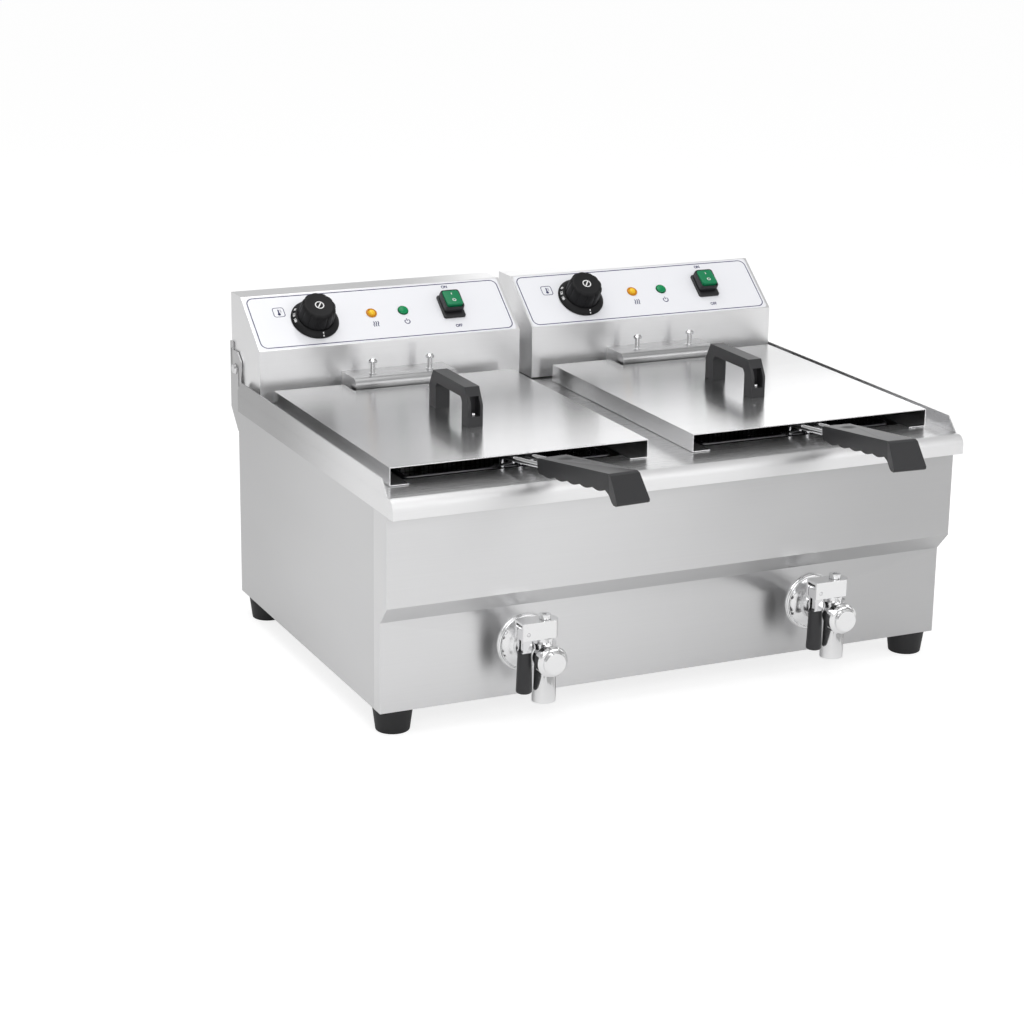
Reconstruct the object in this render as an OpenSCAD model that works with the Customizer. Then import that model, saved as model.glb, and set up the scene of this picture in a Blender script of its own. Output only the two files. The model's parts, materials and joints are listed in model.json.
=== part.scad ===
// Countertop deep fryer with two oil tanks, two tilting control heads and two drain taps.
// +Z is up, +X is to the right, the front faces -Y. The origin is on the table, under the
// middle of the whole fryer. Heights are counted from the table, and depths in the modules
// from the lower front panel.

/* [Cabinet] */
// Width over the worktop's splash guards
worktop_w = 700; // [690:1:720]
// Depth from the lower front panel to the rear wall
cabinet_d = 453.6; // [450:0.2:458]
// Height of the cabinet's floor over the table
cabinet_z = 27; // [25:1:30]
// Thickness of the cabinet's sheet steel
sheet = 1.5; // [1.2:0.1:2]
// How far the upper front panel stands out
step_out = 20; // [15:1:24]
// Bottom and top of the slope between the front panels
step_z = [129.6, 151];
// Width of the front panel's side return
panel_return = 17; // [14:1:20]

/* [Worktop] */
// Height of the worktop's upper face
worktop_z = 273.5; // [272:0.5:275]
// Height of the worktop's lower edge
skirt_z = 252.4; // [250:0.2:256]
// Overhang of the rounded front edge
nose_out = 38; // [34:1:42]
// Radius of the rounded front edge
nose_r = 11; // [8:1:14]
// Top of the splash guards
guard_z = 290.7; // [286:0.1:294]

/* [Tanks] */
// Distance of each tank's centre from the middle
tank_x = 180; // [178:1:182]
// Inner width and length of a tank
tank_size = [280, 340];
// Inner front face of a tank
tank_y = 35; // [33:1:38]
// Inner floor of a tank
tank_floor_z = 112; // [108:1:116]
// Corner radius of a tank
tank_r = 20; // [20:1:34]

/* [Heads] */
// Height over the heads
head_h = 390; // [388:0.5:392]
// Width of a head
head_w = 334.4; // [333:0.2:335]
// Distance of a head's centre from the middle
head_x = 175.7; // [175.5:0.1:176.5]
// Front face, foot of the slope and its top, and back of a head
head_y = [391.6, 456.9, 492.4];
// Height of the slope's foot
slope_z = 338; // [334:0.5:340]
// Bottom of a head
head_z = 275.6; // [275:0.1:277]
// Pivot of a head, behind the cabinet
pivot = [474, 300];

/* [Taps] */
// Height of the drain and the tap's body
tap_z = 86; // [84:1:88]
// Distance of the tap's stem from the front panel
stem_y = 49; // [48:1:50]
// Bottom of the tap's outlet
outlet_z = 36; // [32:1:40]

/* [Baskets and lids] */
// Upper and lower face of a lid
lid_z = [274, 294.4];
// Front and rear edge of a lid
lid_y = [14.5, 372.6];
// Width of a lid
lid_w = 304.4; // [300:0.2:310]
// Width of a basket
basket_w = 244; // [236:1:248]
// Front and rear of a basket
basket_y = [46, 314];
// Floor and rim of a basket
basket_z = [158, 271.5];
// Start of the handle's grip, at its top
grip_start = [44, 305.7];
// Length of the grip
grip_l = 146; // [140:1:155]
// Upward tilt of the basket's handle
handle_tilt = 7.4; // [5:0.1:9]
// Turn of the basket's handle towards the middle
handle_turn = 3.9; // [0:0.1:6]

/* [Hidden] */
$fn = 64;
left = -1;
right = 1;
steel = "gainsboro";
polished = "whitesmoke";
plastic = [0.13, 0.13, 0.14];

cabinet_w = worktop_w - 1;
eps = 0.01;
gap = 0.3;                        // space between parts that touch in use but move apart
fit_gap = 0.06;                   // radial space of a pin in its bore
seam = 0.02;                      // between sheets that are welded together
grip_tip = [grip_l + 19, -27];    // foremost point of the grip, along it and up from its back
grip_tip_w = 38.4;                // width of the grip at its tip
grip_reach = basket_y[0] + grip_start[0] + grip_tip[0] * cos(handle_tilt) - grip_tip[1] * sin(handle_tilt);
grip_end = grip_reach * cos(handle_turn) + grip_tip_w / 2 * sin(handle_turn) - basket_y[0];
gland_out = 3;                    // how far the cable glands stand out behind the heads
panel_y = -(head_y[2] + gland_out - grip_end) / 2;
tank_rear = tank_y + tank_size[1];
tank_mid = tank_y + tank_size[1] / 2;
slope_a = atan2(head_h - slope_z, head_y[1] - head_y[0]);
slope_l = norm([head_h - slope_z, head_y[1] - head_y[0]]);

// ---- placing ----

// The fryer's frame, from the frame of the lower front panel.
module placed() translate([0, panel_y, 0]) children();

// A part of the left or the right half, about the middle of that half.
module on_side(side, x) placed() translate([side * x, 0, 0]) children();

// A child drawn in the plane of depth and height, carried across the width w about x = 0.
module across(w) rotate([90, 0, 90]) translate([0, 0, -w / 2]) linear_extrude(w) children();

// A cylinder along the depth, from y0 to y1.
module along_y(r, y0, y1) translate([0, y1, 0]) rotate([90, 0, 0]) cylinder(r = r, h = y1 - y0);

// A cylinder along the width, from x0 to x1.
module along_x(r, x0, x1) translate([x0, 0, 0]) rotate([0, 90, 0]) cylinder(r = r, h = x1 - x0);

// A wire of radius r between two points.
module wire(a, b, r) {
    v = b - a;
    translate(a) rotate([0, acos(v[2] / norm(v)), atan2(v[1], v[0])]) cylinder(r = r, h = norm(v));
}

module rounded_square(size, r) {
    for (x = [-1, 1], y = [-1, 1])
        translate([x * (size[0] / 2 - r), y * (size[1] / 2 - r)]) circle(r);
    square([size[0], size[1] - 2 * r], center = true);
    square([size[0] - 2 * r, size[1]], center = true);
}

// A frame on the slope: x across, y up the slope from its foot, z out of the panel.
module on_slope(side, x = 0, s = 0) on_side(side, head_x)
    translate([x, head_y[0], slope_z]) rotate([slope_a, 0, 0]) translate([0, s, 0]) children();

// ---- cabinet ----

module cabinet_shell() color(steel) placed() difference() {
    translate([-cabinet_w / 2, panel_return, cabinet_z])
        cube([cabinet_w, cabinet_d - panel_return, skirt_z - cabinet_z]);
    translate([-cabinet_w / 2 + sheet, -eps, cabinet_z - eps])
        cube([cabinet_w - 2 * sheet, cabinet_d - sheet + eps, skirt_z]);
}

panel_outline = [[panel_return, cabinet_z], [0, cabinet_z], [0, step_z[0]],
                 [-step_out, step_z[1]], [-step_out, skirt_z], [panel_return, skirt_z]];

module front_panel() color(steel) placed() difference() {
    across(cabinet_w) polygon(panel_outline);
    across(cabinet_w - 2 * sheet) translate([sheet, 0]) polygon([for (p = panel_outline)
        [p[0] + (p[0] > 0 ? 1 : 0), p[1] + (p[1] < step_z[0] ? -1 : p[1] > step_z[1] ? 1 : -sheet / 3)]]);
    for (side = [left, right]) translate([side * tank_x, 0, tap_z]) along_y(14, -1, sheet + 1);
}

foot_x = cabinet_w / 2 - 23.2;
foot_y = [21.5, 424.3];
foot_r = [18.7, 22.3];

module at_feet() for (x = [-1, 1], y = foot_y) translate([x * foot_x, y, 0]) children();

module base_plate() color(steel) placed() difference() {
    translate([-cabinet_w / 2 + sheet, sheet, cabinet_z])
        cube([cabinet_w - 2 * sheet, cabinet_d - 2 * sheet, sheet]);
    at_feet() translate([0, 0, cabinet_z - 1]) cylinder(r = 3.3, h = sheet + 2);
    // cooling louvres under the tanks
    for (side = [left, right], i = [-3:3]) translate([side * tank_x + i * 26, tank_mid, cabinet_z + sheet / 2])
        cube([6, 150, 3 * sheet], center = true);
}

module rubber_feet() color(plastic) placed() at_feet() difference() {
    cylinder(r1 = foot_r[0], r2 = foot_r[1], h = cabinet_z);
    translate([0, 0, -1]) cylinder(r = 9, h = 18);
    cylinder(r = 3.3, h = cabinet_z + 1);
}

module foot_screws() color(polished) placed() at_feet() {
    translate([0, 0, 17]) cylinder(r = 3, h = 20);
    translate([0, 0, 13]) cylinder(r = 6, h = 4);
    translate([0, 0, cabinet_z + sheet]) cylinder(r = 6, h = 5, $fn = 6);
}

// Outline of the worktop from its rear edge round the front nose.
module worktop_outline() {
    translate([-nose_out + nose_r, worktop_z - nose_r]) circle(nose_r);
    translate([-nose_out, skirt_z]) square([nose_r * 2, worktop_z - skirt_z - nose_r]);
    translate([-nose_out + nose_r, skirt_z]) square([cabinet_d + nose_out - nose_r, worktop_z - skirt_z]);
}

module worktop() color(steel) placed() {
    difference() {
        across(worktop_w) worktop_outline();
        across(worktop_w - 2 * sheet) {
            translate([-nose_out + nose_r, worktop_z - nose_r]) circle(nose_r - sheet);
            translate([-nose_out + sheet, skirt_z - 1])
                square([nose_r * 2, worktop_z - skirt_z - nose_r + 1]);
            translate([-nose_out + nose_r, skirt_z - 1])
                square([cabinet_d + nose_out - nose_r - sheet, worktop_z - skirt_z - sheet + 1]);
        }
        for (side = [left, right]) translate([side * tank_x, tank_mid, worktop_z - 5])
            linear_extrude(10) rounded_square(tank_size, tank_r);
    }
    // splash guards, strips of their own on the edges, cut down at a slant towards the nose
    for (side = [left, right]) translate([side * (worktop_w - sheet) / 2, 0, 0]) across(sheet)
        polygon([[cabinet_d, worktop_z + seam], [cabinet_d, guard_z - 12], [cabinet_d - 12, guard_z],
                 [-6, guard_z], [-23, worktop_z + seam]]);
}

// ---- tanks and drains ----

drain_y = tank_y + 42;
drain_r = [11, 13];               // bore and outside of the drain pipe

module tank(side) color(steel) on_side(side, tank_x) {
    difference() {
        union() {
            translate([0, tank_mid, tank_floor_z - sheet]) linear_extrude(worktop_z - sheet - tank_floor_z + sheet)
                rounded_square(tank_size + [2 * sheet, 2 * sheet], tank_r + sheet);
            translate([0, tank_mid, worktop_z - 2 * sheet]) linear_extrude(sheet)
                rounded_square(tank_size + [20, 20], tank_r + 10);
            // drain pipe, down from the floor and forward to the tap
            translate([0, drain_y, tap_z]) cylinder(r = drain_r[1], h = tank_floor_z - tap_z - sheet / 2);
            translate([0, drain_y, tap_z]) sphere(r = drain_r[1]);
            translate([0, 0, tap_z]) along_y(drain_r[1], 0, drain_y);
        }
        translate([0, tank_mid, tank_floor_z]) linear_extrude(worktop_z) rounded_square(tank_size, tank_r);
        translate([0, drain_y, tap_z]) cylinder(r = drain_r[0], h = tank_floor_z - tap_z + 1);
        translate([0, drain_y, tap_z]) sphere(r = drain_r[0]);
        translate([0, 0, tap_z]) along_y(drain_r[0], -1, drain_y);
    }
}

module left_tank() tank(left);
module right_tank() tank(right);

// ---- taps ----

body_r = 13;
collar_r = 17.5;
ball_r = 10.5;
stem_r = 4;
hood_z = [109, 128.5];
hood_d = 21;
pin_x = -23.5;
pin_z = 116;

module at_taps() placed() for (side = [left, right])
    translate([side * tank_x, 0, tap_z]) children();

module at_stem(side) on_side(side, tank_x) translate([0, -stem_y, 0]) children();

// Wall flange, a shallow dome with a rolled rim and a neck round the pipe.
module tap_rosettes() color(polished) at_taps() rotate([90, 0, 0]) rotate_extrude() difference() {
    union() {
        intersection() {
            translate([0, -48]) circle(58);
            translate([body_r + 0.5, 0]) square([32, 12]);
        }
        translate([body_r + 0.5, 0]) square([4, 14]);
        translate([30.5, 2]) circle(2);
    }
    translate([0, -51]) circle(58.5);
    translate([0, -5]) square([40, 5]);
}

module tap_bodies() color(polished) at_taps() translate([0, -stem_y, 0]) difference() {
    union() {
        along_y(body_r, -16, stem_y);
        along_y(collar_r - 2, -12.5, -11);
        along_y(collar_r, -21, -12.5);
        translate([0, -21, 0]) rotate([90, 0, 0]) cylinder(r1 = collar_r, r2 = collar_r - 3, h = 3);
        cylinder(r = 9.4, h = 22);
        cylinder(r1 = 9.4, r2 = 13, h = 17);
        sphere(r = body_r + 1.5);
        translate([0, 0, outlet_z - tap_z]) cylinder(r = body_r, h = tap_z - outlet_z);
    }
    sphere(r = ball_r + 0.1);
    cylinder(r = stem_r + fit_gap, h = 40);
    along_y(7, 0, stem_y + 1);
    translate([0, 0, outlet_z - tap_z - 1]) cylinder(r = 9, h = tap_z - outlet_z);
    along_y(10, -30, -10);
}

module tap_plugs() color(polished) at_taps() translate([0, -stem_y, 0]) {
    along_y(10 - fit_gap, -24, -12);
    along_y(13, -27.5, -24);
    translate([0, -27.5, 0]) rotate([90, 0, 0]) cylinder(r1 = 13, r2 = 11.8, h = 1.5);
}

// Ball with its angled port, stem, neck washer and top screw, which all turn with the hood.
module tap_stem(side) color(polished) at_stem(side) {
    translate([0, 0, tap_z]) difference() {
        union() {
            sphere(r = ball_r);
            cylinder(r = stem_r, h = hood_z[1] - tap_z + 1);
        }
        along_x(6, 0, 20);
        translate([0, 0, -20]) cylinder(r = 6, h = 20);
    }
    translate([0, 0, hood_z[1] + gap]) difference() {
        cylinder(r = 6.5, h = 5);
        translate([0, 0, 2.5]) cylinder(r = 3, h = 4, $fn = 6);
    }
}

module left_tap_stem() tap_stem(left);
module right_tap_stem() tap_stem(right);

// Hood, open below, with a rounded end over the stem and two cheeks that hold the lever's pin.
module tap_hood(side) color(polished) at_stem(side) difference() {
    union() {
        translate([-30, -hood_d / 2, hood_z[0]]) cube([34, hood_d, hood_z[1] - hood_z[0]]);
        intersection() {
            translate([2, 0, hood_z[0]]) cylinder(r = 12.5, h = hood_z[1] - hood_z[0]);
            translate([0, -hood_d / 2, 0]) cube([30, hood_d, 200]);
        }
        translate([0, 0, hood_z[0]]) cylinder(r = 9.3, h = 3);
    }
    translate([-40, -hood_d / 2 + 3, hood_z[0] - 1]) cube([30, hood_d - 6, hood_z[1] - hood_z[0] - 2]);
    translate([0, 0, hood_z[0] - 1]) cylinder(r = stem_r + fit_gap, h = 40);
    translate([pin_x, 0, pin_z]) along_y(2 + fit_gap, -20, 20);
}

module left_tap_hood() tap_hood(left);
module right_tap_hood() tap_hood(right);

// Lever strap with its pin, hanging from the hood.
module tap_arm(side) color(steel) at_stem(side) translate([pin_x, 0, pin_z]) {
    along_y(2, -hood_d / 2, hood_d / 2);
    difference() {
        union() {
            along_y(5.6, -7, 7);
            translate([-5.6, -7, -22]) cube([11.2, 14, 22]);
        }
        translate([-8, -5.2, -30]) cube([16, 10.4, 22]);
        translate([-8, -20, -21]) cube([3.4, 40, 10]);
    }
    translate([-3, -3, -40]) cube([6, 6, 33]);
}

module left_tap_arm() tap_arm(left);
module right_tap_arm() tap_arm(right);

module tap_grip(side) color(plastic) at_stem(side) translate([pin_x, 0, pin_z - 68]) difference() {
    union() {
        translate([0, 0, 1.5]) cylinder(r1 = 8.8, r2 = 7.5, h = 44.5);
        cylinder(r1 = 7.6, r2 = 8.8, h = 1.5);
    }
    translate([-3, -3, 28]) cube([6, 6, 30]);
}

module left_tap_grip() tap_grip(left);
module right_tap_grip() tap_grip(right);

// ---- heater guards ----

guard_t = 1.5;
guard_plate_z = basket_z[0] - guard_t - gap;
guard_y = [44, 318];
guard_w = 252;

module heater_guard(side) color(steel) on_side(side, tank_x) {
    translate([0, 0, guard_plate_z]) linear_extrude(guard_t) difference() {
        translate([-guard_w / 2, guard_y[0]]) square([guard_w, guard_y[1] - guard_y[0]]);
        for (ix = [-8:8], iy = [0:9]) translate([ix * 14, guard_y[0] + 20 + iy * 26]) circle(4, $fn = 24);
    }
    // side skirts that stand on the tank's floor
    for (x = [-1, 1]) translate([x * (guard_w - guard_t) / 2 - guard_t / 2, guard_y[0], tank_floor_z + gap])
        cube([guard_t, guard_y[1] - guard_y[0], guard_plate_z - tank_floor_z - gap + eps]);
}

module left_heater_guard() heater_guard(left);
module right_heater_guard() heater_guard(right);

// ---- baskets ----

mesh_pitch = 24;
mesh_t = 2;
rim_r = 2.5;

// Woven wall of w by h: a grid of square wires, drawn flat.
module mesh(w, h) {
    nx = round(w / mesh_pitch);
    ny = round(h / mesh_pitch);
    difference() {
        square([w, h]);
        for (ix = [0:nx - 1], iy = [0:ny - 1])
            translate([ix * w / nx + mesh_t / 2, iy * h / ny + mesh_t / 2])
                square([w / nx - mesh_t, h / ny - mesh_t]);
    }
}

module basket(side) color(steel) on_side(side, tank_x) {
    l = basket_y[1] - basket_y[0];
    h = basket_z[1] - basket_z[0];
    translate([-basket_w / 2, basket_y[0], basket_z[0]]) {
        linear_extrude(mesh_t) mesh(basket_w, l);
        for (y = [mesh_t, l]) translate([0, y, 0]) rotate([90, 0, 0]) linear_extrude(mesh_t) mesh(basket_w, h);
        for (x = [0, basket_w - mesh_t]) translate([x, 0, 0]) rotate([90, 0, 90]) linear_extrude(mesh_t) mesh(l, h);
    }
    for (x = [-1, 1]) translate([x * (basket_w / 2 - mesh_t / 2), 0, basket_z[1]])
        along_y(rim_r, basket_y[0], basket_y[1]);
    for (y = basket_y) translate([0, y + (y == basket_y[0] ? 1 : -1) * mesh_t / 2, basket_z[1]])
        along_x(rim_r, -basket_w / 2, basket_w / 2);
}

module left_basket() basket(left);
module right_basket() basket(right);

// The handle's frame: x across, -y along the grip, z up, at the top of the grip's start.
module on_handle(side) on_rim(side) translate([0, -basket_y[0] - grip_start[0], grip_start[1]])
    rotate([-handle_tilt, 0, 0]) children();

// A frame at the middle of the basket's front rim, turned as the handle is.
module on_rim(side) on_side(side, tank_x) translate([0, basket_y[0], 0])
    rotate([0, 0, -side * handle_turn]) children();

wire_x = 11.3;
wire_r = 3;
grip_t = 19;

// Two rods that reach to the basket's front rim, with their ends turned down in front of it,
// and a brace from each rod down to the rim.
rod_end = basket_y[0] + grip_start[0] - 2.4;
rod_end_z = grip_start[1] - 9 * cos(handle_tilt) - rod_end * tan(handle_tilt);

module basket_handle(side) color(polished) {
    on_handle(side) for (x = [-1, 1]) translate([x * wire_x, 0, -9]) along_y(wire_r, -60, rod_end);
    on_rim(side) for (x = [-1, 1]) {
        translate([x * wire_x, -3.4, 0]) {
            translate([0, 0, worktop_z + 0.7]) cylinder(r = wire_r, h = rod_end_z - worktop_z - 0.7);
            translate([0, 0, rod_end_z]) sphere(r = wire_r + 0.4);
        }
        wire([x * wire_x, -30, 285.5], [x * (wire_x + 8), 0, basket_z[1] + 2.4], 1.6);
    }
}

module left_basket_handle() basket_handle(left);
module right_basket_handle() basket_handle(right);

swells = 5;
swell_l = 25.5;

// Side view of the grip: a straight back, five finger swells below and a hooked end.
function grip_under(s) = 2.2 - grip_t - 2.4 * abs(sin(180 * s / swell_l));
grip_outline = concat([[0, -3.5], [1.2, -1.2], [3.5, 0], [grip_l + 1, 0.6], [grip_l + 5, -1.5], grip_tip,
    [grip_tip[0] - 0.6, grip_tip[1] - 2.6], [grip_tip[0] - 3, grip_tip[1] - 3.6], [grip_l + 9, grip_tip[1] - 3.2],
    [grip_l + 5, grip_tip[1] - 1], [grip_l - 2, -20.5]],
    [for (i = [0:8 * swells]) let (s = swells * swell_l * (1 - i / (8 * swells))) [s + 10, grip_under(s)]],
    [[4, 2 - grip_t], [1.2, 3.4 - grip_t], [0, 6 - grip_t]]);

module basket_grip(side) color(plastic) on_handle(side) difference() {
    intersection() {
        across(40) mirror([1, 0]) polygon(grip_outline);
        translate([0, 0, -45]) linear_extrude(60)
            polygon([[-16.5, 0], [16.5, 0], [16.4, -grip_l], [grip_tip_w / 2, -grip_tip[0]], [grip_tip_w / 2, -grip_tip[0] - 9],
                     [-grip_tip_w / 2, -grip_tip[0] - 9], [-grip_tip_w / 2, -grip_tip[0]], [-16.4, -grip_l]]);
    }
    for (x = [-1, 1]) translate([x * wire_x, 0, -9]) along_y(wire_r + fit_gap, -60, 5);
    // long thumb hollow on the back
    translate([0, -30, 28.5]) rotate([0, 0, 90]) sphere(r = 30);
}

module left_basket_grip() basket_grip(left);
module right_basket_grip() basket_grip(right);

// ---- lids ----

lid_sheet = 1;
lid_return = 22;
notch_x = head_x - tank_x;
bracket_w = 130;
bracket_y = 344.5;

module lid(side) color(steel) on_side(side, tank_x) difference() {
    translate([-lid_w / 2, lid_y[0], lid_z[0]]) cube([lid_w, lid_y[1] - lid_y[0], lid_z[1] - lid_z[0]]);
    translate([-lid_w / 2 + lid_sheet, lid_y[0] - 1, lid_z[0] + lid_sheet])
        cube([lid_w - 2 * lid_sheet, lid_y[1] - lid_y[0] + 1 - lid_sheet, lid_z[1] - lid_z[0] - 2 * lid_sheet]);
    translate([-lid_w / 2 + lid_return, lid_y[0] - 1, lid_z[0] - 1])
        cube([lid_w - 2 * lid_return, lid_y[1] - lid_y[0] + 2, 3]);
    translate([side * notch_x - bracket_w / 2 - 4.5, bracket_y - 5, lid_z[0] - 1]) cube([bracket_w + 9, 50, 40]);
    lid_holes() translate([0, 0, lid_z[1] - 5]) cylinder(r = 2.2, h = 10);
}

module left_lid() lid(left);
module right_lid() lid(right);

handle_y = [134, 246];
handle_w = 17.5;
handle_top = 338;
handle_leg = 19;

module lid_holes() for (y = [handle_y[0] + 8, handle_y[1] - 8]) translate([-1, y, 0]) children();

// Bridge handle with chamfered ends, and a pocket for the screw in each leg.
module lid_handle(side) color(plastic) on_side(side, tank_x) translate([-1, 0, 0]) difference() {
    across(handle_w) polygon([[handle_y[0], lid_z[1]], [handle_y[0], 319], [handle_y[0] + 11, handle_top],
        [handle_y[1] - 11, handle_top], [handle_y[1], 319], [handle_y[1], lid_z[1]],
        [handle_y[1] - handle_leg, lid_z[1]], [handle_y[1] - handle_leg, 320], [handle_y[1] - handle_leg - 4, 325],
        [handle_y[0] + handle_leg + 4, 325], [handle_y[0] + handle_leg, 320], [handle_y[0] + handle_leg, lid_z[1]]]);
    for (end = [0, 1]) translate([0, handle_y[end], 0]) mirror([0, end, 0]) {
        translate([-5.5, -1, 306]) cube([11, 14.5, 22]);
        translate([0, 8, lid_z[1] - 1]) cylinder(r = 2.2, h = 20);
    }
}

module left_lid_handle() lid_handle(left);
module right_lid_handle() lid_handle(right);

module lid_screws(side) color(polished) on_side(side, tank_x) lid_holes() {
    translate([0, 0, lid_z[1] - 5]) cylinder(r = 2, h = 307 - lid_z[1] + 5);
    translate([0, 0, 306]) cylinder(r = 4, h = 3);
    translate([0, 0, lid_z[1] - lid_sheet - 3.2]) cylinder(r = 3.8, h = 3.2, $fn = 6);
}

module left_lid_screws() lid_screws(left);
module right_lid_screws() lid_screws(right);

// ---- control heads ----

head_sheet = 1.2;
head_outline = [[head_y[0], head_z], [head_y[0], slope_z], [head_y[1], head_h], [head_y[2], head_h],
                [head_y[2], head_z]];
head_lining = [[head_y[0] + head_sheet, head_z - 1], [head_y[0] + head_sheet, slope_z - head_sheet * 0.48],
               [head_y[1] + head_sheet * 0.34, head_h - head_sheet], [head_y[2] + 1, head_h - head_sheet],
               [head_y[2] + 1, head_z - 1]];
knob_at = [-86.7, 40.5];
heat_lamp_at = [-14, 43];
power_lamp_at = [27, 43];
switch_at = [92.5, 45];
switch_size = [28, 37];
bore_out = 30;

module head_shell(side) color(steel) difference() {
    on_side(side, head_x) difference() {
        across(head_w) polygon(head_outline);
        across(head_w - 2 * head_sheet) polygon(head_lining);
        // way through for the heater's leads, behind the bracket
        translate([-bracket_w / 2 + 3, head_y[0] - 1, 279]) cube([bracket_w - 6, 5, 24]);
        translate([0, pivot[0], pivot[1]]) along_x(4 + fit_gap, -head_w, head_w);
    }
    on_slope(side, knob_at[0], knob_at[1]) cylinder(r = 5, h = bore_out, center = true);
    on_slope(side, heat_lamp_at[0], heat_lamp_at[1]) cylinder(r = 5, h = bore_out, center = true);
    on_slope(side, power_lamp_at[0], power_lamp_at[1]) cylinder(r = 5, h = bore_out, center = true);
    on_slope(side, switch_at[0], switch_at[1]) cube([switch_size[0] - 5, switch_size[1] - 5, 8], center = true);
}

module left_head_shell() head_shell(left);
module right_head_shell() head_shell(right);

gland_x = 120;

// Rear and bottom cover, one bent sheet with cooling louvres.
module head_back(side) color(steel) on_side(side, head_x) difference() {
    w = head_w - 2 * head_sheet;
    translate([-w / 2, head_y[0] + head_sheet, head_z]) cube([w, head_y[2] - head_y[0] - head_sheet,
                                                            head_h - head_sheet - head_z]);
    translate([-w, head_y[0], head_z + head_sheet]) cube([2 * w, head_y[2] - head_y[0] - head_sheet, 200]);
    translate([-bracket_w / 2 + 3, head_y[0], head_z - 1]) cube([bracket_w - 6, 26, 5]);
    for (i = [-5:5]) translate([i * 9, head_y[2], 350]) cube([3.5, 10, 30], center = true);
    translate([side * gland_x, head_y[2] - 5, 312]) rotate([-90, 0, 0]) cylinder(r = 8, h = 10);
}

module left_head_back() head_back(left);
module right_head_back() head_back(right);

module cable_gland(side) color(plastic) on_side(side, head_x) translate([side * gland_x, head_y[2], 312])
    rotate([90, 0, 0]) difference() {
        union() {
            translate([0, 0, -gland_out]) cylinder(r = 11, h = gland_out);
            translate([0, 0, 0]) cylinder(r = 7.9, h = 9);
            translate([0, 0, head_sheet]) cylinder(r = 11, h = 5, $fn = 6);
        }
        translate([0, 0, -5]) cylinder(r = 4.5, h = 20);
    }

module left_cable_gland() cable_gland(left);
module right_cable_gland() cable_gland(right);

bracket_gap = 0.5;
bracket_t = 2;

// Slotted cheeks behind the cabinet that carry the heads.
module hinge_brackets() color(steel) placed() for (side = [left, right], end = [-1, 1])
    translate([side * head_x + end * (head_w / 2 + bracket_gap + bracket_t / 2), 0, 0]) difference() {
        union() {
            across(bracket_t) polygon([[cabinet_d, 222], [468, 225], [492, 250], [492, 331], [484, 331],
                                       [484, 322], [466, 322], [cabinet_d, 312]]);
            translate([end * -(9 - bracket_t) / 2, 0, 0]) across(9) polygon([[cabinet_d, 222], [cabinet_d + bracket_t, 222],
                                       [cabinet_d + bracket_t, 268], [cabinet_d, 268]]);
        }
        translate([0, pivot[0], pivot[1]]) along_x(4 + fit_gap, -5, 5);
        translate([0, 487, 311]) cube([10, 3, 24], center = true);
        translate([0, 462, 290]) cube([10, 3, 28], center = true);
    }

module hinge_bolts(side) color(polished) on_side(side, head_x) for (end = [-1, 1])
    translate([end * head_w / 2, pivot[0], pivot[1]]) mirror([end < 0 ? 1 : 0, 0, 0]) {
        along_x(4, -6, bracket_gap + bracket_t + gap + 0.5);
        translate([bracket_gap + bracket_t + gap, 0, 0]) rotate([0, 90, 0]) cylinder(r1 = 6.5, r2 = 5, h = 3);
        translate([-head_sheet, 0, 0]) rotate([0, -90, 0]) cylinder(r = 7, h = 5, $fn = 6);
    }

module left_hinge_bolts() hinge_bolts(left);
module right_hinge_bolts() hinge_bolts(right);

// ---- heaters ----

bracket_top = 306;
bend_r = 9;
lead_y = 366;
lead_x = [-50, -22, 22, 50];
element_r = 4.2;
element_z = 128;
element_tip = 112;
elbow_r = 22;

// Rounded cover over the heater's leads, open below.
module bracket_profile(inset) {
    translate([bracket_y + bend_r, bracket_top - bend_r]) circle(bend_r - inset);
    translate([bracket_y + inset, 284 - inset]) square([bend_r * 2, bracket_top - bend_r - 284 + inset]);
    translate([bracket_y + bend_r, 284 - inset]) square([head_y[0] - bracket_y - bend_r + inset, bracket_top - 284]);
}

module heater_bracket(side) color(steel) on_side(side, head_x) difference() {
    across(bracket_w) bracket_profile(0);
    across(bracket_w - 2 * head_sheet) bracket_profile(head_sheet);
    for (x = [-1, 1]) translate([x * stud_x, stud_y, bracket_top - 3]) cylinder(r = 3.2, h = 6);
}

module left_heater_bracket() heater_bracket(left);
module right_heater_bracket() heater_bracket(right);

stud_x = 36.5;
stud_y = 364;

// Two long pan-head screws that the raised basket hooks onto.
module hook_studs(side) color(polished) on_side(side, head_x) for (x = [-1, 1]) translate([x * stud_x, stud_y, 0]) {
    translate([0, 0, bracket_top - 7]) cylinder(r = 3, h = 24);
    translate([0, 0, bracket_top]) cylinder(r = 4.2, h = 1.5);
    translate([0, 0, bracket_top + 14.5]) cylinder(r = 5.6, h = 2);
    translate([0, 0, bracket_top + 16.5]) cylinder(r1 = 5.6, r2 = 3.4, h = 2.5);
    translate([0, 0, bracket_top - head_sheet - 4]) cylinder(r = 5, h = 4, $fn = 6);
}

module left_hook_studs() hook_studs(left);
module right_hook_studs() hook_studs(right);

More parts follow.
